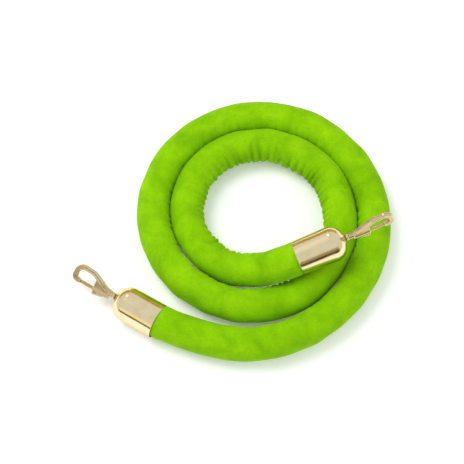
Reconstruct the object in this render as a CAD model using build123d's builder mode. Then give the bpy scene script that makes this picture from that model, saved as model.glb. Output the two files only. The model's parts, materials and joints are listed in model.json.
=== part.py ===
"""Velvet barrier rope: a padded cloth rope with a brass cap and a swivelling bolt snap at each end.

The rope lies on a floor, z = 0, in a loose coil of two and a third turns. Its outer end points away
from the coil and its inner end climbs over the second turn. Millimetres, +Z up, origin at the middle
of the object's footprint.
"""
from build123d import *
import os
from math import cos, radians, sin

os.makedirs("parts", exist_ok=True)

# ---- Rope -------------------------------------------------------------------------------------
rope_diameter = 38.0
cover_wall = 1.4  # velvet with its backing
foam_bore = 6.6
core_cord_diameter = 6.0
layer_gap = 0.2  # between cover, foam and core cord
seam_gap = 0.3  # where a layer's two edges meet, along its underside
rope_insert = 25.0  # how deep the rope sits in each cap

# ---- Coil -------------------------------------------------------------------------------------
coil_centre = (33.47, 23.16)
turn_step = 30.0  # degrees from one route point to the next
coil_start = 240.0  # degrees, at the outer end
inner_ring_radius = 83.0  # centre line of the innermost turn
turn_gap = 0.6
# Distance outside the innermost turn, in rope pitches, at each step from the outer end.
pitches_out = [
    2.37, 2.17, 1.73, 1.36, 1.13, 0.98, 0.97, 0.98, 1.00, 1.03, 1.09, 1.13,
    1.11, 1.00, 0.70, 0.35, 0.14, 0.02, -0.01, 0.01, 0.06, 0.08, 0.11, 0.11,
    0.03,
]
outer_tail = (-137.4, -127.8)  # from the coil's centre
arc_share = 0.45  # of the shorter run at a corner, taken up by its arc
# The inner end climbs over the second turn: (x, y) from the coil's centre, and how far above lying
# flat in rope diameters.
inner_climb = [(-11.0, -82.0, 0.171), (17.0, -84.5, 0.671), (61.0, -70.1, 1.0185)]

# ---- Cap --------------------------------------------------------------------------------------
cap_wall = 0.8
cap_shoulder = 16.0  # radius where the tube turns into the crown
cap_crown_rise = 7.0
cap_lip = 0.35

# ---- Swivel -----------------------------------------------------------------------------------
shank_diameter = 4.0
shank_bevel = 0.4
running_gap = 0.05  # radial, round a turning shank
seat_gap = 0.05  # between pieces that are fixed together
end_float = 0.25  # axial play of the swivel
bush_diameter = 6.4
bush_flange_diameter = 10.4
bush_flange_height = 1.3
bush_length = 3.4
washer_diameter = 9.6
washer_height = 1.0
nut_width = 7.0
nut_height = 3.2
shank_below_nut = 1.2
collar_diameter = 8.6
collar_height = 3.4

# ---- Anchor of the rope in the cap ------------------------------------------------------------
plug_height = 11.0
ferrule_diameter = 10.0
ferrule_height = 6.5
cord_proud = 0.8  # core cord past its ferrule
anchor_space = 4.35  # from the core cord's end to the swivel shank

# ---- Hook, with lateral distances from the swivel axis, positive on the spine side ------------
hook_thickness = 5.4
hook_round = 1.5
neck_diameter = 7.6
neck_height = 6.5
neck_bevel = 0.7
barrel_offset = -3.7
barrel_diameter = 6.6
barrel_start = 5.5  # from the collar
barrel_length = 20.5
barrel_floor = 1.5
barrel_bevel = 0.4
shank_depth = 4.0  # thread engagement in the hook's neck
mouth_length = 16.8  # from the barrel to the hook's tip
spine_width = 6.2
web_thickness = 3.4
web_start = 3.0  # from the foot of the neck
web_side = 2.0  # lateral, on the spine side
web_reach = 0.8
tip_diameter = 5.8
tip_height = 3.0
# Corners of the spine's centre line, (lateral, along the axis), first from the neck and then from
# the hook's tip, and the radius of each bend.
spine_root = [(1.2, 3.0), (2.6, 10.6)]
spine_loop = [(11.6, -11.0), (12.2, 4.6), (6.8, 9.4), (-3.2, 8.6), (-3.7, 0.4)]
spine_bends = [12.0, 16.0, 4.9, 6.0, 4.2]
groove_root = (5.2, 16.5)
groove_loop = [(11.6, -11.0), (12.1, 2.6)]
groove_width = 1.8
groove_depth = 0.6
spine_roll = (22.0, 100.0)  # degrees from the horizontal, one for each end

# ---- Bolt, knob and spring --------------------------------------------------------------------
bolt_diameter = 4.0
bolt_travel = 9.5
bolt_tail = 5.5  # length of bolt inside the barrel when shut
tip_gap = 0.3
stem_width = 1.6
stem_length = 3.0
stem_setback = 2.4  # from the front of the barrel to the stem
slot_side_gap = 0.2
slot_end_gap = 0.25
bolt_bevel = 0.5
knob_length = 13.5
knob_height = 2.7
knob_width = 4.2
knob_lift = 0.2  # off the barrel
knob_overhang = 1.2  # of its front past the stem
knob_pin_reach = 0.6  # past the middle of the bolt
knob_round = 0.2
# Corners of the knob's outer side, (drop from its full height, distance behind its front).
knob_outline = [(0.3, 0.5), (0.0, 2.2), (0.5, 5.0), (2.0, 13.1)]
spring_wire = 0.55
spring_turns = 6
spring_gap = 0.1

# ---- Derived sizes ----------------------------------------------------------------------------
rope_radius = rope_diameter / 2
pitch = rope_diameter + turn_gap
cap_diameter = rope_diameter + 2 * (layer_gap + cap_wall)
cap_radius = cap_diameter / 2  # the outer cap lies on the floor, and so do the rope's turns
plug_base = rope_insert + layer_gap
ferrule_base = plug_base + plug_height + seat_gap
shank_base = ferrule_base + ferrule_height + cord_proud + anchor_space
nut_base = shank_base + shank_below_nut
washer_base = nut_base + nut_height + seat_gap
bush_base = washer_base + washer_height + end_float
cap_length = bush_base + bush_length
collar_base = cap_length + end_float
neck_base = collar_base + collar_height + seat_gap
barrel_base = neck_base + barrel_start - collar_height / 2
barrel_top = barrel_base + barrel_length
hook_tip = barrel_top + mouth_length
stem_front = barrel_top - stem_setback
bolt_bottom = barrel_top - bolt_tail
bore_radius = bolt_diameter / 2 + running_gap
barrel_edge = barrel_offset - barrel_diameter / 2
stem_depth = (barrel_diameter - bolt_diameter) / 2 + knob_lift + knob_height / 2


def from_coil_centre(x, y, height):
    return Vector(coil_centre[0] + x, coil_centre[1] + y, height)


def coil_point(step):
    """Corner of the route at a step round the coil. It stands outside the centre line, which
    touches the middles of the runs."""
    angle = radians(coil_start + turn_step * step)
    centre_line = inner_ring_radius + pitch * pitches_out[step]
    reach = centre_line / cos(radians(turn_step / 2))
    height = cap_radius if step == 0 else rope_radius
    return from_coil_centre(reach * cos(angle), reach * sin(angle), height)


def rope_route():
    outer = from_coil_centre(*outer_tail, cap_radius)
    coil = [coil_point(step) for step in range(len(pitches_out))]
    inner = [from_coil_centre(x, y, rope_radius + rise * rope_diameter) for x, y, rise in inner_climb]
    return [outer] + coil + inner


def corner_radii(points):
    """Largest arc that the two runs at each corner leave room for."""
    radii = []
    for before, here, after in zip(points, points[1:], points[2:]):
        half_turn = radians((here - before).get_angle(after - here) / 2)
        shorter = min((here - before).length, (after - here).length)
        radii.append(arc_share * shorter * cos(half_turn) / sin(half_turn))
    return radii


def end_plane(tip, inward_point, roll):
    """Plane of a cap's mouth: z along the cap, away from the rope, and x towards the hook's spine."""
    outward = (tip - inward_point).normalized()
    side = outward.cross(Vector(0, 0, 1)).normalized()
    up = side.cross(outward)
    spine = side * cos(radians(roll)) + up * sin(radians(roll))
    return Plane(origin=tip - outward * rope_insert, x_dir=spine, z_dir=outward)


def lengthwise(end):
    """Plane through a cap's axis: x towards the hook's spine, y along the axis."""
    return Plane(origin=end.origin, x_dir=end.x_dir, z_dir=-end.y_dir)


def axis_of(end):
    return Axis(end.origin, end.z_dir)


route = rope_route()
route_radii = corner_radii(route)
ends = [
    end_plane(route[0], route[1], spine_roll[0]),
    end_plane(route[-1], route[-2], spine_roll[1]),
]


def save(piece, label):
    piece.part.label = label
    export_step(piece.part, f"parts/{label}.step")


# ---- Rope layers ------------------------------------------------------------------------------
def rope_layer(label, outer, bore, past_end):
    """One layer of the rope along the route, with each end moved along its run. A hollow layer is a
    strip closed round what it holds, so it has a seam along its whole length."""
    points = list(route)
    points[0] = points[0] + ends[0].z_dir * past_end
    points[-1] = points[-1] + ends[1].z_dir * past_end
    with BuildPart() as layer:
        with BuildLine() as path:
            FilletPolyline(*points, radius=route_radii)
        with BuildSketch(Plane(points[0], x_dir=(0, 0, 1), z_dir=points[1] - points[0])) as section:
            Circle(outer / 2)
            if bore:
                Circle(bore / 2, mode=Mode.SUBTRACT)
                with Locations((-outer / 2, 0)):
                    Rectangle(outer, seam_gap, mode=Mode.SUBTRACT)
        sweep()
    save(layer, label)
    length = path.wire().length
    ratio = layer.part.volume / (section.sketch.area * length)
    print(f"{label}: length {length:.1f} mm, volume over section times length {ratio:.4f}")


foam_diameter = rope_diameter - 2 * cover_wall - 2 * layer_gap
rope_layer("velvet_cover", rope_diameter, rope_diameter - 2 * cover_wall, 0)
rope_layer("foam_core", foam_diameter, foam_bore, 0)
rope_layer("core_cord", core_cord_diameter, 0, ferrule_base + ferrule_height + cord_proud - rope_insert)
print("route corner radii:", ", ".join(f"{radius:.0f}" for radius in route_radii))


# ---- Cap and what holds the rope in it --------------------------------------------------------
def cap_profile(radius, length, shoulder, mode):
    """Half section of a cap: tube, round shoulder, low crown."""
    with BuildLine() as outline:
        edge = FilletPolyline(
            (radius, 0),
            (radius, length - cap_crown_rise),
            (bush_diameter / 2, length),
            radius=shoulder,
        )
        Polyline(edge @ 1, (0, length), (0, 0), (radius, 0))
    make_face(outline.edges(), mode=mode)


def end_cap(end, label):
    with BuildPart() as cap:
        with BuildSketch(lengthwise(end)):
            cap_profile(cap_radius, cap_length, cap_shoulder, Mode.ADD)
            cap_profile(cap_radius - cap_wall, cap_length - cap_wall, cap_shoulder - cap_wall, Mode.SUBTRACT)
        revolve(axis=axis_of(end))
        with BuildSketch(end):
            Circle(bush_diameter / 2 + seat_gap)
        extrude(amount=cap_length, mode=Mode.SUBTRACT)
        mouth_edges = cap.edges().filter_by(GeomType.CIRCLE).sort_by(axis_of(end))[:2]
        fillet(mouth_edges, radius=cap_lip)
    save(cap, label)


def ring(end, base, height, outer, bore, label):
    with BuildPart() as piece:
        with BuildSketch(end.offset(base)):
            Circle(outer / 2)
            Circle(bore / 2, mode=Mode.SUBTRACT)
        extrude(amount=height)
    save(piece, label)


def end_plug(end, label):
    """Nylon plug glued into the cap, with a hole for the core cord."""
    with BuildPart() as plug:
        with BuildSketch(end.offset(plug_base)):
            Circle(cap_radius - cap_wall - layer_gap)
            Circle(core_cord_diameter / 2 + layer_gap, mode=Mode.SUBTRACT)
        extrude(amount=plug_height)
    save(plug, label)


def neck_bush(end, label):
    """Flanged bush pressed into the crown, in which the swivel shank turns."""
    bore = shank_diameter / 2 + running_gap
    with BuildPart() as bush:
        with BuildSketch(end.offset(bush_base)):
            Circle(bush_diameter / 2)
        extrude(amount=bush_length)
        with BuildSketch(end.offset(bush_base)):
            Circle(bush_flange_diameter / 2)
        extrude(amount=bush_flange_height)
        with BuildSketch(end.offset(bush_base)):
            Circle(bore)
        extrude(amount=bush_length, mode=Mode.SUBTRACT)
    save(bush, label)


def lock_nut(end, label):
    with BuildPart() as nut:
        with BuildSketch(end.offset(nut_base)):
            RegularPolygon(nut_width / 2, 6, major_radius=False)
            Circle(shank_diameter / 2 + seat_gap, mode=Mode.SUBTRACT)
        extrude(amount=nut_height)
    save(nut, label)


def swivel_shank(end, label):
    with BuildPart() as shank:
        with BuildSketch(end.offset(shank_base)):
            Circle(shank_diameter / 2)
        extrude(amount=neck_base + shank_depth - shank_base)
        chamfer(shank.edges().sort_by(axis_of(end))[0], length=shank_bevel)
    save(shank, label)


# ---- Hook -------------------------------------------------------------------------------------
def along_spine(root, loop):
    """Points (lateral, along the axis) from distances off the neck and off the hook's tip."""
    return [(x, neck_base + y) for x, y in root] + [(x, hook_tip + y) for x, y in loop]


def spine_rod(end):
    """The spine, bent round into a loop that ends over the bolt."""
    corners = [end.from_local_coords(Vector(x, 0, y)) for x, y in along_spine(spine_root, spine_loop)]
    with BuildLine() as path:
        FilletPolyline(*corners, radius=spine_bends)
    with BuildSketch(Plane(corners[0], x_dir=end.y_dir, z_dir=corners[1] - corners[0])) as section:
        RectangleRounded(hook_thickness, spine_width, hook_round)
    sweep(section.sketch, path=path.wire())


def web_plate(end):
    """Thin wall between the barrel and the spine."""
    with BuildSketch(lengthwise(end)) as web:
        with BuildLine():
            Polyline(
                (barrel_offset, neck_base + web_start),
                (web_side, neck_base + web_start),
                (spine_loop[0][0] - spine_width / 2, barrel_top + web_reach),
                (barrel_offset + bolt_diameter / 2 + web_reach, barrel_top),
                (barrel_offset, barrel_top - web_reach),
                close=True,
            )
        make_face()
    extrude(web.sketch, amount=web_thickness / 2, both=True)


def spine_groove(end, side):
    """Shallow groove along one face of the spine."""
    face = lengthwise(end).offset(side * hook_thickness / 2)
    with BuildSketch(face) as groove:
        with BuildLine():
            FilletPolyline(*along_spine([groove_root], groove_loop), radius=spine_bends[1])
        trace(line_width=groove_width)
    extrude(groove.sketch, amount=-side * groove_depth, mode=Mode.SUBTRACT)


def hook_body(end, label):
    """One casting: neck, barrel, web, spine, loop and tip."""
    with BuildPart() as hook:
        with BuildSketch(end.offset(neck_base)):
            Circle(neck_diameter / 2)
        extrude(amount=neck_height)
        chamfer(hook.edges().filter_by(GeomType.CIRCLE), length=neck_bevel)
        with BuildSketch(end.offset(barrel_base)):
            with Locations((barrel_offset, 0)):
                Circle(barrel_diameter / 2)
        extrude(amount=barrel_length)
        chamfer(hook.edges().group_by(axis_of(end))[-1], length=barrel_bevel)
        web_plate(end)
        spine_rod(end)
        with BuildSketch(end.offset(hook_tip)):
            with Locations((barrel_offset, 0)):
                Circle(tip_diameter / 2)
        extrude(amount=tip_height)
        for side in (1, -1):
            spine_groove(end, side)
        with BuildSketch(end.offset(barrel_base + barrel_floor)):
            with Locations((barrel_offset, 0)):
                Circle(bore_radius)
        extrude(amount=hook_tip - barrel_base - barrel_floor, mode=Mode.SUBTRACT)
        with BuildSketch(end.offset(neck_base)):
            Circle(shank_diameter / 2 + seat_gap)
        extrude(amount=shank_depth + seat_gap, mode=Mode.SUBTRACT)
        slot_base = stem_front - stem_length - bolt_travel - slot_end_gap
        slot_length = stem_length + bolt_travel + 2 * slot_end_gap
        with BuildSketch(end.offset(slot_base)):
            with Locations((barrel_edge, 0)):
                Rectangle(barrel_diameter / 2, stem_width + 2 * slot_side_gap)
        extrude(amount=slot_length, mode=Mode.SUBTRACT)
    save(hook, label)


# ---- Bolt -------------------------------------------------------------------------------------
def gate_bolt(end, label):
    """Round bolt that closes the hook, with a cross hole for the knob's pin."""
    with BuildPart() as bolt:
        with BuildSketch(end.offset(bolt_bottom)):
            with Locations((barrel_offset, 0)):
                Circle(bolt_diameter / 2)
        extrude(amount=hook_tip - tip_gap - bolt_bottom)
        chamfer(bolt.edges().group_by(axis_of(end))[-1], length=bolt_bevel)
        with BuildSketch(knob_plane(end)):
            Circle(stem_width / 2 + seat_gap)
        extrude(amount=-barrel_diameter, mode=Mode.SUBTRACT)
    save(bolt, label)


def knob_plane(end):
    """Plane across the stem of the knob, on the barrel's outer edge and facing away from the bolt."""
    middle = end.from_local_coords(Vector(barrel_edge, 0, stem_front - stem_length / 2))
    return Plane(origin=middle, x_dir=end.z_dir, z_dir=-end.x_dir)


def thumb_knob(end, label):
    """Knob with a steep front and a sloping back, a stem in the slot and a pin in the bolt."""
    front = stem_front + knob_overhang
    bottom = barrel_edge - knob_lift
    outer = [(bottom - knob_height + drop, front - back) for drop, back in knob_outline]
    with BuildPart() as knob:
        with BuildSketch(lengthwise(end)):
            with BuildLine():
                Polyline((bottom, front - knob_length), (bottom, front), *outer, close=True)
            make_face()
        extrude(amount=knob_width / 2, both=True)
        fillet(knob.edges().group_by(axis_of(end))[-1].filter_by(Axis(end.origin, end.y_dir)), radius=knob_round)
        with BuildSketch(lengthwise(end)):
            with Locations((barrel_offset - bolt_diameter / 2 - seat_gap, stem_front - stem_length / 2)):
                Rectangle(stem_depth, stem_length, align=(Align.MAX, Align.CENTER))
        extrude(amount=stem_width / 2, both=True)
        with BuildSketch(knob_plane(end)):
            Circle(stem_width / 2)
        extrude(amount=-(barrel_diameter / 2 + knob_pin_reach))
    save(knob, label)


def bolt_spring(end, label):
    """Compression spring behind the bolt, in the barrel's bore."""
    bottom = barrel_base + barrel_floor + spring_wire / 2 + spring_gap
    top = bolt_bottom - spring_wire / 2 - spring_gap
    radius = bore_radius - spring_wire / 2 - spring_gap
    start = end.from_local_coords(Vector(barrel_offset, 0, bottom))
    height = top - bottom
    with BuildPart() as spring:
        with BuildLine() as path:
            Helix(height / spring_turns, height, radius, center=start, direction=end.z_dir)
        with BuildSketch(Plane(origin=path.line @ 0, z_dir=path.line % 0)):
            Circle(spring_wire / 2)
        sweep()
    save(spring, label)


for number, end in enumerate(ends, start=1):
    shank_hole = shank_diameter + 2 * seat_gap
    cord_hole = core_cord_diameter + 2 * seat_gap
    end_cap(end, f"end_cap_{number}")
    end_plug(end, f"end_plug_{number}")
    ring(end, ferrule_base, ferrule_height, ferrule_diameter, cord_hole, f"cord_ferrule_{number}")
    neck_bush(end, f"neck_bush_{number}")
    ring(end, washer_base, washer_height, washer_diameter, shank_hole, f"retaining_washer_{number}")
    lock_nut(end, f"lock_nut_{number}")
    swivel_shank(end, f"swivel_shank_{number}")
    ring(end, collar_base, collar_height, collar_diameter, shank_hole, f"neck_collar_{number}")
    hook_body(end, f"hook_body_{number}")
    gate_bolt(end, f"gate_bolt_{number}")
    thumb_knob(end, f"thumb_knob_{number}")
    bolt_spring(end, f"bolt_spring_{number}")
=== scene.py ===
"""Looks of the velvet barrier rope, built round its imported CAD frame. Metres, +Z up."""
import json
import random
from math import cos, pi, radians, sin, tan

import bpy
import numpy as np
from mathutils import Matrix, Vector


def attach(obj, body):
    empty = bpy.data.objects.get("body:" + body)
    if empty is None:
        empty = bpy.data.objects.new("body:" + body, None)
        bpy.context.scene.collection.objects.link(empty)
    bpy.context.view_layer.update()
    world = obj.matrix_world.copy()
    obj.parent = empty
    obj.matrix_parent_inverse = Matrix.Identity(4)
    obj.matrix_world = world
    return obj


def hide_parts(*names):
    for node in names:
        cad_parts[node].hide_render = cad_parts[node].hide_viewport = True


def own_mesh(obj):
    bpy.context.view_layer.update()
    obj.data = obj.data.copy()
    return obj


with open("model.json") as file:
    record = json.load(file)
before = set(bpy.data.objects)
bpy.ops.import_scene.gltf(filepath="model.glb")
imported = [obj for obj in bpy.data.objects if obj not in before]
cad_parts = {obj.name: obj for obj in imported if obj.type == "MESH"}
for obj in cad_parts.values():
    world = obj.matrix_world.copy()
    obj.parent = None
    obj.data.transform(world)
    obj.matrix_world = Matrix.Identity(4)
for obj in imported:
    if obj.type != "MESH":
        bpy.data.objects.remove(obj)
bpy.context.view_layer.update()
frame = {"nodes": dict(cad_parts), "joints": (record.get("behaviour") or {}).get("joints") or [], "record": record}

MM = 0.001
SEED = 7

# ---- Camera and the rope's route --------------------------------------------------------------
CAMERA_ELEVATION = radians(64)
CAMERA_DISTANCE = 1.596
CAMERA_LENS = 108.6  # mm, on a 36 mm square sensor
CAMERA_TARGET = Vector((-1.53, -6.84, 19.0)) * MM

ROPE_DIAMETER = 38.0
CAP_DIAMETER = 40.0
ROPE_INSERT = 25.0
COIL_CENTRE = (33.47, 23.16)
TURN_STEP = 30.0
COIL_START = 240.0
INNER_RING_RADIUS = 83.0
PITCH = ROPE_DIAMETER + 0.6
PITCHES_OUT = [
    2.37, 2.17, 1.73, 1.36, 1.13, 0.98, 0.97, 0.98, 1.00, 1.03, 1.09, 1.13,
    1.11, 1.00, 0.70, 0.35, 0.14, 0.02, -0.01, 0.01, 0.06, 0.08, 0.11, 0.11,
    0.03,
]
OUTER_TAIL = (-137.4, -127.8)
# (x, y) from the coil's centre, and height above lying flat.
INNER_CLIMB = [(-11.0, -82.0, 6.5), (17.0, -84.5, 25.5), (61.0, -70.1, 38.7)]

# ---- Rope mesh --------------------------------------------------------------------------------
RING_STEP = 1.5 * MM
RING_POINTS = 88
FLOOR_GAP = 0.1 * MM
SEAM_DEPTH = 0.8 * MM
SEAM_HALF_ANGLE = 0.055
CAP_GRIP = 0.25 * MM  # how far the cap presses the cover in

# Creases across the rope: where they start and stop along it, as shares of its length, their pitch and
# depth in mm, the angle round the rope that they centre on, and how far round they reach.
GATHERS = [
    (0.585, 0.955, 9.4, 2.35, pi, 0.95),
    (0.2, 0.585, 13.0, 0.8, pi, 0.9),
    (0.06, 0.3, 21.0, 0.4, pi, 0.8),
    (0.1, 0.9, 34.0, 0.35, 1.1, 0.7),
]
WAVE_COUNT = 26
WAVE_LENGTHS = (28, 95)  # mm
WAVE_SIZE = 0.11 * MM


def from_coil_centre(x, y, height):
    return Vector((COIL_CENTRE[0] + x, COIL_CENTRE[1] + y, height)) * MM


def coil_point(step):
    """The same corner of the route as in the CAD source."""
    angle = radians(COIL_START + TURN_STEP * step)
    reach = (INNER_RING_RADIUS + PITCH * PITCHES_OUT[step]) / cos(radians(TURN_STEP / 2))
    height = CAP_DIAMETER / 2 if step == 0 else ROPE_DIAMETER / 2
    return from_coil_centre(reach * cos(angle), reach * sin(angle), height)


def rope_route():
    outer = from_coil_centre(*OUTER_TAIL, CAP_DIAMETER / 2)
    coil = [coil_point(step) for step in range(len(PITCHES_OUT))]
    inner = [from_coil_centre(x, y, ROPE_DIAMETER / 2 + rise) for x, y, rise in INNER_CLIMB]
    return [outer] + coil + inner


def add_camera():
    data = bpy.data.cameras.new("camera")
    data.lens = CAMERA_LENS
    data.sensor_width = 36.0
    camera = bpy.data.objects.new("camera", data)
    back = Vector((0, -cos(CAMERA_ELEVATION), sin(CAMERA_ELEVATION)))
    camera.location = CAMERA_TARGET + back * CAMERA_DISTANCE
    camera.rotation_euler = (pi / 2 - CAMERA_ELEVATION, 0, 0)
    bpy.context.scene.collection.objects.link(camera)
    bpy.context.scene.camera = camera


def smooth_line(points):
    """Points along the NURBS spline that has these control points."""
    curve = bpy.data.curves.new("route", "CURVE")
    curve.dimensions = "3D"
    curve.resolution_u = 32
    spline = curve.splines.new("NURBS")
    spline.points.add(len(points) - 1)
    for control, point in zip(spline.points, points):
        control.co = (*point, 1.0)
    spline.order_u = 3
    spline.use_endpoint_u = True
    holder = bpy.data.objects.new("route", curve)
    bpy.context.scene.collection.objects.link(holder)
    bpy.context.view_layer.update()
    evaluated = holder.evaluated_get(bpy.context.evaluated_depsgraph_get())
    mesh = bpy.data.meshes.new_from_object(evaluated)
    line = np.array([v.co for v in mesh.vertices], float)
    bpy.data.objects.remove(holder)
    return line


def evenly(line, step):
    """The line again, with points a fixed distance apart, and its length."""
    gaps = np.linalg.norm(np.diff(line, axis=0), axis=1)
    along = np.concatenate([[0], np.cumsum(gaps)])
    count = int(round(along[-1] / step)) + 1
    marks = np.linspace(0, along[-1], count)
    return np.stack([np.interp(marks, along, line[:, i]) for i in range(3)], axis=1), marks


def rings_about(centres):
    """Tangent, outward and upward directions at each point of a line that lies mostly flat."""
    tangent = np.gradient(centres, axis=0)
    tangent /= np.linalg.norm(tangent, axis=1)[:, None]
    outward = np.cross(tangent, [0, 0, 1])
    outward /= np.linalg.norm(outward, axis=1)[:, None]
    upward = np.cross(outward, tangent)
    return tangent, outward, upward


def mesh_object(name, vertices, faces, material, smooth=True):
    mesh = bpy.data.meshes.new(name)
    mesh.from_pydata([tuple(v) for v in vertices], [], faces)
    mesh.update()
    if smooth:
        mesh.shade_smooth()
    mesh.materials.append(material)
    piece = bpy.data.objects.new(name, mesh)
    bpy.context.scene.collection.objects.link(piece)
    return piece


def grid_faces(rows, columns):
    """Quads of a tube of closed rings."""
    faces = []
    for i in range(rows - 1):
        for j in range(columns):
            k = (j + 1) % columns
            faces.append((i * columns + j, i * columns + k, (i + 1) * columns + k, (i + 1) * columns + j))
    return faces


# ---- Materials --------------------------------------------------------------------------------
class Shader:
    """A principled material and short calls to wire its nodes."""

    def __init__(self, name, **values):
        self.material = bpy.data.materials.new(name)
        self.material.use_nodes = True
        self.nodes = self.material.node_tree.nodes
        self.links = self.material.node_tree.links
        self.principled = self.nodes["Principled BSDF"]
        for socket, value in values.items():
            self.principled.inputs[socket.replace("_", " ")].default_value = value
        self.place = self.nodes.new("ShaderNodeTexCoord").outputs["Object"]

    def link(self, source, target):
        self.links.new(source, target)

    def noise(self, scale, detail=2.0, roughness=0.5, distortion=0.0):
        node = self.nodes.new("ShaderNodeTexNoise")
        node.inputs["Scale"].default_value = scale
        node.inputs["Detail"].default_value = detail
        node.inputs["Roughness"].default_value = roughness
        node.inputs["Distortion"].default_value = distortion
        self.link(self.place, node.inputs["Vector"])
        return node.outputs["Fac"]

    def ramp(self, source, stops):
        node = self.nodes.new("ShaderNodeValToRGB")
        ramp = node.color_ramp
        for element, (position, colour) in zip(ramp.elements, (stops[0], stops[-1])):
            element.position = position
            element.color = (*colour, 1.0)
        for position, colour in stops[1:-1]:
            ramp.elements.new(position).color = (*colour, 1.0)
        self.link(source, node.inputs["Fac"])
        return node.outputs["Color"]

    def span(self, source, low, high, start=0.0, stop=1.0):
        node = self.nodes.new("ShaderNodeMapRange")
        for socket, value in (("From Min", start), ("From Max", stop), ("To Min", low), ("To Max", high)):
            node.inputs[socket].default_value = value
        self.link(source, node.inputs["Value"])
        return node.outputs["Result"]

    def mix(self, factor, first, second):
        node = self.nodes.new("ShaderNodeMix")
        node.data_type = "RGBA"
        sockets = [node.inputs[i] for i in (0, 6, 7)]
        for socket, value in zip(sockets, (factor, first, second)):
            if isinstance(value, bpy.types.NodeSocket):
                self.link(value, socket)
            elif isinstance(value, tuple):
                socket.default_value = (*value, 1.0)
            else:
                socket.default_value = value
        return node.outputs[2]

    def bump(self, source, distance, strength=1.0, after=None):
        node = self.nodes.new("ShaderNodeBump")
        node.inputs["Distance"].default_value = distance
        node.inputs["Strength"].default_value = strength
        self.link(source, node.inputs["Height"])
        if after:
            self.link(after, node.inputs["Normal"])
        return node.outputs["Normal"]

    def set(self, socket, source):
        self.link(source, self.principled.inputs[socket])


def velvet_material():
    """Short lime pile: blotches where it is brushed one way or the other, and a soft sheen."""
    shader = Shader(
        "velvet",
        Roughness=0.9,
        Sheen_Weight=0.5,
        Sheen_Roughness=0.3,
        Sheen_Tint=(0.68, 0.92, 0.05, 1.0),
        Specular_IOR_Level=0.1,
    )
    brushed = shader.noise(30.0, 5.0, 0.62, distortion=0.5)
    ground = shader.ramp(
        brushed,
        [(0.30, (0.150, 0.385, 0.0002)), (0.50, (0.205, 0.483, 0.0004)), (0.70, (0.262, 0.575, 0.0012))],
    )
    tufts = shader.noise(330.0, 4.0, 0.75)
    tufted = shader.mix(shader.span(tufts, 0.0, 0.5, 0.52, 0.72), ground, (0.125, 0.325, 0.0002))
    lint = shader.noise(650.0, 2.0, 0.5)
    speckled = shader.mix(shader.span(lint, 0.0, 0.35, 0.60, 0.78), tufted, (0.36, 0.68, 0.008))
    shader.set("Base Color", speckled)
    pile = shader.noise(2200.0, 3.0, 0.65)
    nap = shader.bump(brushed, 0.0007, 0.35)
    shader.set("Normal", shader.bump(pile, 0.0003, 0.55, shader.bump(tufts, 0.0004, 0.35, nap)))
    return shader.material


def brass_material(name, colour, deep, edge, low, high, painted_edge_highlight=None):
    """Polished pale brass plate with faint marks and handling haze. On a casting, the bright edge tone is a
    painted highlight along its sharp edges, and the deep tone is painted as shade in its corners."""
    shader = Shader(name, Metallic=1.0, Specular_Tint=(*edge, 1.0))
    haze = shader.noise(70.0, 4.0, 0.6)
    marks = shader.noise(900.0, 3.0, 0.6)
    tone = shader.ramp(haze, [(0.30, deep), (0.50, colour), (0.85, colour)])
    if painted_edge_highlight:
        corner = shader.nodes.new("ShaderNodeNewGeometry").outputs["Pointiness"]
        # Painted shade: concave corners are darkened towards the deep tone.
        tone = shader.mix(shader.span(corner, 0.9, 0.0, 0.46, 0.498), tone, deep)
        # Painted highlight: sharp convex edges are lightened towards the bright edge tone.
        tone = shader.mix(shader.span(corner, 0.0, 1.0, 0.502, 0.525), tone, painted_edge_highlight)
    shader.set("Base Color", shader.mix(shader.span(marks, 0.0, 0.2, 0.5, 0.85), tone, deep))
    shader.set("Roughness", shader.span(haze, low, high, 0.3, 0.75))
    shader.set("Normal", shader.bump(marks, 0.00002, 0.2))
    return shader.material


def metal_material(name, light, dark, low, high, grain):
    shader = Shader(name, Metallic=1.0)
    cloud = shader.noise(grain, 4.0, 0.65)
    shader.set("Base Color", shader.ramp(cloud, [(0.3, dark), (0.7, light)]))
    shader.set("Roughness", shader.span(cloud, low, high, 0.3, 0.7))
    shader.set("Normal", shader.bump(shader.noise(grain * 8, 2.0), 0.00003, 0.4))
    return shader.material


def matt_material(name, light, dark, grain, depth, roughness=0.8):
    shader = Shader(name, Roughness=roughness)
    cloud = shader.noise(grain, 4.0, 0.6)
    shader.set("Base Color", shader.ramp(cloud, [(0.3, dark), (0.7, light)]))
    shader.set("Normal", shader.bump(shader.noise(grain * 4, 3.0), depth, 0.6))
    return shader.material


def make_materials():
    return {
        "velvet": velvet_material(),
        "brass": brass_material(
            "brass", (0.84, 0.73, 0.47), (0.79, 0.66, 0.38), (0.97, 0.84, 0.60), 0.13, 0.2
        ),
        # Cast pieces: a darker base, a painted highlight along their edges and painted shade in their corners.
        "brass_cast": brass_material(
            "brass_cast", (0.60, 0.48, 0.25), (0.34, 0.23, 0.08), (0.92, 0.74, 0.45), 0.1, 0.18,
            painted_edge_highlight=(0.95, 0.86, 0.66),
        ),
        "brass_dark": brass_material(
            "brass_dark", (0.70, 0.56, 0.30), (0.50, 0.36, 0.15), (0.88, 0.64, 0.32), 0.16, 0.26
        ),
        "steel": metal_material("steel", (0.66, 0.66, 0.68), (0.48, 0.48, 0.50), 0.22, 0.38, 160.0),
        "spring_steel": metal_material(
            "spring_steel", (0.48, 0.48, 0.51), (0.32, 0.32, 0.35), 0.25, 0.4, 240.0
        ),
        "foam": matt_material("foam", (0.88, 0.88, 0.85), (0.78, 0.78, 0.74), 700.0, 0.0003, 0.9),
        "cord": matt_material("cord", (0.80, 0.74, 0.60), (0.62, 0.56, 0.43), 500.0, 0.0004, 0.9),
        "nylon": matt_material("nylon", (0.86, 0.85, 0.80), (0.80, 0.78, 0.72), 120.0, 0.00005, 0.45),
    }


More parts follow.
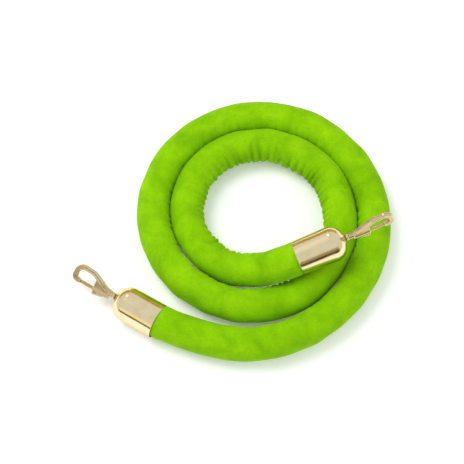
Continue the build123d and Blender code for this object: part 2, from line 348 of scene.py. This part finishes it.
# ---- Rope -------------------------------------------------------------------------------------
class Gathers:
    """Creases across the rope where its cover is pushed together on the inside of the bend."""

    def __init__(self, rng, start, stop, pitch, depth, middle, reach):
        place = start
        self.creases = []
        while place < stop:
            self.creases.append(
                (
                    place,
                    depth * rng.uniform(0.45, 1.3),
                    rng.uniform(1.2, 2.5) * MM,
                    middle + rng.uniform(-0.25, 0.25),
                    reach * rng.uniform(0.7, 1.25),
                    rng.uniform(-2.5, 2.5) * MM,
                )
            )
            place += pitch * rng.uniform(0.65, 1.4)

    def add_to(self, height, along, around):
        for place, depth, width, middle, reach, slant in self.creases:
            near = np.abs(along - place) < 9 * width
            turn = (around - middle + pi) % (2 * pi) - pi
            across = np.exp(-((turn / reach) ** 2) * 1.6)
            offset = along[near][:, None] - place - slant * np.sin(turn)[None, :]
            crease = -np.exp(-((offset / width) ** 2))
            shoulder = 0.42 * np.exp(-(((np.abs(offset) - 2.6 * width) / (1.5 * width)) ** 2))
            height[near] += depth * (crease + shoulder) * across[None, :]


def rope_relief(along, around, length):
    """How far the cover stands out from a plain tube, by place along the rope and angle round it."""
    rng = random.Random(SEED)
    height = np.zeros((len(along), len(around)))
    for start, stop, pitch, depth, middle, reach in GATHERS:
        creases = Gathers(rng, start * length, stop * length, pitch * MM, depth * MM, middle, reach)
        creases.add_to(height, along, around)
    for _ in range(WAVE_COUNT):
        wave = rng.uniform(*WAVE_LENGTHS) * MM
        spin = rng.choice((1, 2, 3))
        phase, turn = rng.uniform(0, 2 * pi), rng.uniform(0, 2 * pi)
        lengthwise = np.sin(2 * pi * along / wave + phase)[:, None]
        height += WAVE_SIZE * lengthwise * np.cos(spin * around + turn)[None, :]
    return height


def velvet_rope(material, line, mouths):
    """The cover: rings about the rope's line, with creases, pleats at the caps and a sewn seam."""
    centres, along = evenly(line, RING_STEP)
    length = along[-1]
    tangent, outward, upward = rings_about(centres)
    around = np.arange(RING_POINTS) * 2 * pi / RING_POINTS
    height = rope_relief(along, around, length)
    # Pleats where the cap holds the cover, dying out along the rope.
    for mouth in mouths:
        away = np.clip(mouth - along if mouth > length / 2 else along - mouth, 0, None)
        fade = np.exp(-away / (9 * MM)) * (1 - np.exp(-away / (2 * MM)))
        pleats = 0.35 * np.sin(17 * around + 1.3) + 0.2 * np.sin(29 * around)
        height += MM * fade[:, None] * (pleats - 0.25)[None, :]
        inside = np.clip((1 * MM - away) / MM, 0, 1)
        height = height * (1 - inside[:, None]) - CAP_GRIP * inside[:, None]
    seam = (around - 1.5 * pi + pi) % (2 * pi) - pi
    height -= SEAM_DEPTH * np.exp(-((seam / SEAM_HALF_ANGLE) ** 2))[None, :]
    radius = ROPE_DIAMETER / 2 * MM + height
    points = (
        centres[:, None, :]
        + outward[:, None, :] * (radius * np.cos(around)[None, :])[:, :, None]
        + upward[:, None, :] * (radius * np.sin(around)[None, :])[:, :, None]
    )
    points[:, :, 2] = np.maximum(points[:, :, 2], FLOOR_GAP)
    vertices = points.reshape(-1, 3)
    faces = grid_faces(len(centres), RING_POINTS)
    last = (len(centres) - 1) * RING_POINTS
    faces.append(tuple(range(RING_POINTS)))
    faces.append(tuple(last + j for j in reversed(range(RING_POINTS))))
    rope = mesh_object("velvet_rope", vertices, faces, material)
    return rope, centres, length


# ---- Caps and hooks ---------------------------------------------------------------------------
CAP_WALL = 0.8 * MM
CAP_LIP = CAP_WALL / 2
CAP_CROWN_RISE = 7.0 * MM
CAP_SHOULDER = 16.0 * MM
CAP_WAVE_SIZE = 0.012 * MM
BEAD_HEIGHT = 0.9 * MM
CAST_VOXEL = 0.24 * MM
KNOB_VOXEL = 0.16 * MM
KNOB_RIDGE_PITCH = 1.3 * MM
KNOB_RIDGE_HEIGHT = 0.14 * MM
KNOB_RIDGE_DEPTH = 2.2 * MM  # how far in from the outer face the ridges fade out
BOLT_NOSE = 0.8 * MM
BOLT_TAIL_BEVEL = 0.3 * MM
BOLT_GROOVES = (3.0 * MM, 2.0 * MM)  # from the bolt's end
BOLT_GROOVE_DEPTH = 0.18 * MM
BOLT_GROOVE_HALF = 0.25 * MM
SPRING_WIRE_RADIUS = 0.275 * MM
SPRING_TURNS = 6
AXIS_RADIUS = 1e-5  # a turned piece's end closes at this radius


class End:
    """The frame of one rope end: z out along the cap, x towards the hook's spine."""

    def __init__(self, number):
        joint = next(j for j in frame["joints"] if j["name"] == f"hook_swivel_{number}")
        mount = next(m for m in frame["record"]["mounts"] if m["name"] == f"hook_eye_{number}")
        self.number = number
        self.axis = Vector(joint["axis"]).normalized()
        normal = Vector(mount["axis"]).normalized()
        spine = normal.cross(self.axis)
        turn = Matrix((spine, normal, self.axis)).transposed()
        self.matrix = Matrix.Translation(Vector(joint["pos_m"])) @ turn.to_4x4()
        self.inverse = self.matrix.inverted()

    def local(self, node):
        """Corners of a CAD node in this end's own frame, as an array."""
        return np.array([self.inverse @ v.co for v in frame["nodes"][node].data.vertices])

    def place(self, piece, stem, body, slot):
        """Name a piece made in this frame, let it ride and let it stand for its CAD node."""
        piece.name = f"{stem}_{self.number}_visual"
        piece.data.name = piece.name
        piece.data.transform(self.matrix)
        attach(piece, f"{body}_{self.number}" if body != "rope" else "rope")
        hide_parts(f"{stem}_{self.number}")


def lathe(profile, material, segments, centre=(0.0, 0.0)):
    """A closed turned piece: its profile, (radius, height) points in a loop, about the local z axis."""
    vertices = []
    for radius, height in profile:
        for j in range(segments):
            angle = 2 * pi * j / segments
            vertices.append((centre[0] + radius * cos(angle), centre[1] + radius * sin(angle), height))
    rows = len(profile)
    faces = []
    for i in range(rows):
        lower, upper = i * segments, ((i + 1) % rows) * segments
        for j in range(segments):
            k = (j + 1) % segments
            faces.append((lower + j, lower + k, upper + k, upper + j))
    return mesh_object("turned", vertices, faces, material)


def arc(centre, radius, start, stop, count):
    angles = np.radians(np.linspace(start, stop, count))
    return [(centre[0] + radius * cos(a), centre[1] + radius * sin(a)) for a in angles]


def cap_side(radius, base, crown, rise, shoulder, neck):
    """One side of the cap's wall, from its mouth to its neck: tube, round shoulder, low crown."""
    slope = np.arctan2(rise, radius - neck)
    reach = shoulder * tan((pi / 2 - slope) / 2)
    middle = (radius - shoulder, crown - rise - reach)
    tube = [(radius, base + (middle[1] - base) * k / 12) for k in range(12)]
    bend = arc(middle, shoulder, 0, 90 - np.degrees(slope), 22)
    last = bend[-1]
    cone = [(last[0] + (neck - last[0]) * k / 5, last[1] + (crown - last[1]) * k / 5) for k in range(1, 6)]
    return tube + bend + cone


def spun_cap(end, material):
    """Thin spun shell with a rolled lip, slightly uneven as spun metal is."""
    points = end.local(f"end_cap_{end.number}")
    radius = float(np.hypot(points[:, 0], points[:, 1]).max())
    base, crown = float(points[:, 2].min()), float(points[:, 2].max())
    neck = float(np.hypot(points[:, 0], points[:, 1]).min())
    rim = base + CAP_LIP
    inner_shoulder = CAP_SHOULDER - CAP_WALL
    outer = cap_side(radius, rim, crown, CAP_CROWN_RISE, CAP_SHOULDER, neck)
    inner = cap_side(radius - CAP_WALL, rim, crown - CAP_WALL, CAP_CROWN_RISE, inner_shoulder, neck)
    rolled = arc((radius - CAP_WALL / 2, rim), CAP_WALL / 2, 180, 360, 8)
    cap = lathe(rolled + outer[1:] + inner[:0:-1], material, 144)
    rng = random.Random(SEED + end.number)
    waves = []
    for _ in range(4):
        lobes, turn = rng.choice((2, 3, 5)), rng.uniform(0, 6.3)
        waves.append((lobes, turn, rng.uniform(90, 260), rng.uniform(0, 6.3)))
    for vertex in cap.data.vertices:
        x, y, z = vertex.co
        angle = np.arctan2(y, x)
        swell = sum(cos(k * angle + a) * cos(m * z + b) for k, a, m, b in waves) * CAP_WAVE_SIZE
        scale = 1 + swell / max(np.hypot(x, y), MM)
        vertex.co.x, vertex.co.y = x * scale, y * scale
    end.place(cap, "end_cap", "rope", "brass")


def beaded_collar(end, material):
    """Collar between cap and hook: two rounded beads with a waist."""
    points = end.local(f"neck_collar_{end.number}")
    reach = np.hypot(points[:, 0], points[:, 1])
    bore, radius = float(reach.min()), float(reach.max())
    low, high = float(points[:, 2].min()), float(points[:, 2].max())
    profile = [(bore, low)]
    for k in range(25):
        share = k / 24
        bead = abs(sin(2 * pi * share)) ** 0.6
        profile.append((radius - BEAD_HEIGHT + BEAD_HEIGHT * bead, low + (high - low) * share))
    profile.append((bore, high))
    collar = lathe(profile, material, 64)
    end.place(collar, "neck_collar", "hook", "brass")


def cast_copy(end, node, material, voxel, passes):
    """The CAD piece again with its edges run together, as in a polished casting."""
    source = frame["nodes"][node]
    piece = source.copy()
    piece.data = source.data.copy()
    piece.parent = None
    for key in list(piece.keys()):
        if key.startswith("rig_"):
            del piece[key]
    bpy.context.scene.collection.objects.link(piece)
    piece.data.transform(end.inverse)
    remesh = piece.modifiers.new("remesh", "REMESH")
    remesh.mode = "VOXEL"
    remesh.voxel_size = voxel
    remesh.use_smooth_shade = True
    smooth = piece.modifiers.new("smooth", "SMOOTH")
    smooth.factor = 0.5
    smooth.iterations = passes
    bpy.context.view_layer.update()
    evaluated = piece.evaluated_get(bpy.context.evaluated_depsgraph_get())
    mesh = bpy.data.meshes.new_from_object(evaluated)
    piece.modifiers.clear()
    piece.data = mesh
    mesh.shade_smooth()
    mesh.materials.clear()
    mesh.materials.append(material)
    return piece


def hook(end, material):
    piece = cast_copy(end, f"hook_body_{end.number}", material, CAST_VOXEL, 12)
    end.place(piece, "hook_body", "hook", "brass")


def turned_bolt(end, material):
    """Bolt with a rounded nose, two fine grooves and a rounded tail."""
    points = end.local(f"gate_bolt_{end.number}")
    centre = (float(points[:, 0].min() + points[:, 0].max()) / 2, 0.0)
    radius = float(points[:, 0].max() - points[:, 0].min()) / 2
    low, high = float(points[:, 2].min()), float(points[:, 2].max())
    profile = [(AXIS_RADIUS, low), (radius - BOLT_TAIL_BEVEL, low), (radius, low + BOLT_TAIL_BEVEL)]
    for back in BOLT_GROOVES:
        groove = high - back
        profile.append((radius, groove - BOLT_GROOVE_HALF))
        profile.append((radius - BOLT_GROOVE_DEPTH, groove))
        profile.append((radius, groove + BOLT_GROOVE_HALF))
    profile += arc((radius - BOLT_NOSE, high - BOLT_NOSE), BOLT_NOSE, 0, 90, 7) + [(AXIS_RADIUS, high)]
    end.place(lathe(profile, material, 48, centre), "gate_bolt", "bolt", "brass_dark")


def ridged_knob(end, material):
    """Thumb knob with fine grip ridges across its outer face."""
    piece = cast_copy(end, f"thumb_knob_{end.number}", material, KNOB_VOXEL, 3)
    points = np.array([v.co for v in piece.data.vertices])
    outer = points[:, 0].min()
    for vertex in piece.data.vertices:
        depth = (vertex.co.x - outer) / KNOB_RIDGE_DEPTH
        if depth < 1:
            ridge = 1 + sin(2 * pi * vertex.co.z / KNOB_RIDGE_PITCH)
            vertex.co.x += KNOB_RIDGE_HEIGHT * (1 - depth) * ridge
    end.place(piece, "thumb_knob", "bolt", "brass")


def coil_spring(end, material):
    """Round wire spring behind the bolt. It shortens towards the barrel's floor as the bolt opens."""
    points = end.local(f"bolt_spring_{end.number}")
    wire = SPRING_WIRE_RADIUS
    centre = float(points[:, 0].min() + points[:, 0].max()) / 2
    radius = float(points[:, 0].max() - points[:, 0].min()) / 2 - wire
    low, high = float(points[:, 2].min()) + wire, float(points[:, 2].max()) - wire
    turns, steps, sides = SPRING_TURNS, 28, 10
    vertices = []
    for i in range(turns * steps + 1):
        angle = 2 * pi * i / steps
        height = low + (high - low) * i / (turns * steps)
        for j in range(sides):
            side = 2 * pi * j / sides
            reach = radius + wire * cos(side)
            vertices.append((centre + reach * cos(angle), reach * sin(angle), height + wire * sin(side)))
    faces = grid_faces(turns * steps + 1, sides)
    last = turns * steps * sides
    faces += [tuple(range(sides)), tuple(last + j for j in reversed(range(sides)))]
    spring = mesh_object("spring", vertices, faces, material)
    end.place(spring, "bolt_spring", "hook", "spring_steel")
    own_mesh(spring)


# ---- Floor, lights ----------------------------------------------------------------------------
# Cards for reflections: name, place, half width and half height, and colour with brightness.
CARDS = [
    ("card_top", (-0.9, 0.45, 1.9), (0.5, 0.4), (1.05, 1.03, 0.98)),
    ("card_glint", (-0.45, 1.1, 1.5), (0.16, 0.16), (3.4, 3.3, 3.0)),
    ("card_far", (-0.3, 1.6, 0.36), (1.8, 0.34), (0.66, 0.42, 0.05)),
    ("card_far_edge", (-0.3, 1.5, 0.72), (1.8, 0.05), (0.16, 0.11, 0.05)),
    ("card_near_right", (0.8, -1.4, 0.25), (1.0, 0.25), (0.09, 0.06, 0.025)),
    ("card_near_amber", (0.8, -1.4, 0.78), (1.0, 0.28), (0.46, 0.36, 0.17)),
    ("card_near_left", (-1.0, -1.3, 0.16), (0.75, 0.15), (0.09, 0.06, 0.025)),
    ("card_bright", (-1.0, -1.3, 0.60), (0.75, 0.26), (1.25, 1.10, 0.72)),
]


def add_stage():
    # A little light of its own weakens the shadows, which the photograph doesn't show.
    shader = Shader("floor", Roughness=0.9, Specular_IOR_Level=0.1, Emission_Strength=0.12)
    shader.principled.inputs["Emission Color"].default_value = (1, 1, 1, 1)
    cloud = shader.noise(3.0, 2.0)
    shader.set("Base Color", shader.ramp(cloud, [(0.3, (0.90, 0.90, 0.90)), (0.7, (0.92, 0.92, 0.92))]))
    size = 4.0
    corners = [(-size, -size, 0), (size, -size, 0), (size, size, 0), (-size, size, 0)]
    floor = mesh_object("floor", corners, [(0, 1, 2, 3)], shader.material, smooth=False)


def add_light(name, place, power, size):
    data = bpy.data.lights.new(name, "AREA")
    data.energy = power
    data.size = size
    light = bpy.data.objects.new(name, data)
    light.location = place
    light.rotation_euler = (-Vector(place)).to_track_quat("-Z", "Y").to_euler()
    bpy.context.scene.collection.objects.link(light)
    return light


def add_card(name, place, size, glow):
    """Studio card that only mirror-like surfaces see. It gives the polished metal its bands."""
    width, height = size
    corners = [(-width, -height, 0), (width, -height, 0), (width, height, 0), (-width, height, 0)]
    shader = Shader(name, Roughness=1.0, Emission_Strength=1.0, Specular_IOR_Level=0.0)
    cloud = shader.noise(3.0)
    dim = tuple(0.82 * value for value in glow)
    shader.set("Emission Color", shader.ramp(cloud, [(0.35, dim), (0.65, glow)]))
    shader.principled.inputs["Base Color"].default_value = (0, 0, 0, 1)
    card = mesh_object(name, corners, [(0, 1, 2, 3)], shader.material, smooth=False)
    card.location = place
    card.rotation_euler = (-Vector(place)).to_track_quat("Z", "Y").to_euler()
    card.visible_camera = False
    card.visible_diffuse = False
    card.visible_shadow = False


def add_lights():
    key = add_light("key", (-1.1, 0.5, 1.9), 27.0, 1.3)
    key.visible_glossy = False
    add_light("fill", (1.5, -1.0, 1.4), 8.0, 1.6).visible_glossy = False
    for card in CARDS:
        add_card(*card)
    world = bpy.data.worlds.new("world")
    world.use_nodes = True
    background = world.node_tree.nodes["Background"]
    background.inputs["Color"].default_value = (1, 1, 1, 1)
    background.inputs["Strength"].default_value = 0.8
    bpy.context.scene.world = world
    bpy.context.scene.view_settings.view_transform = "Standard"


materials = make_materials()
add_camera()
add_stage()
add_lights()

line = smooth_line(rope_route())
gaps = np.linalg.norm(np.diff(line, axis=0), axis=1)
whole = float(gaps.sum())
rope, rope_path, rope_length = velvet_rope(
    materials["velvet"], line, (ROPE_INSERT * MM, whole - ROPE_INSERT * MM)
)
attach(rope, "rope")
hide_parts("velvet_cover", "foam_core", "core_cord")

slots = {s["node"]: s["material_slot"] for s in frame["record"]["subparts"]}
for node, piece in frame["nodes"].items():
    piece.data.materials.clear()
    piece.data.materials.append(materials[slots[node]])

for end in (End(1), End(2)):
    spun_cap(end, materials["brass"])
    beaded_collar(end, materials["brass"])
    hook(end, materials["brass_cast"])
    turned_bolt(end, materials["brass_dark"])
    ridged_knob(end, materials["brass_cast"])
    coil_spring(end, materials["spring_steel"])
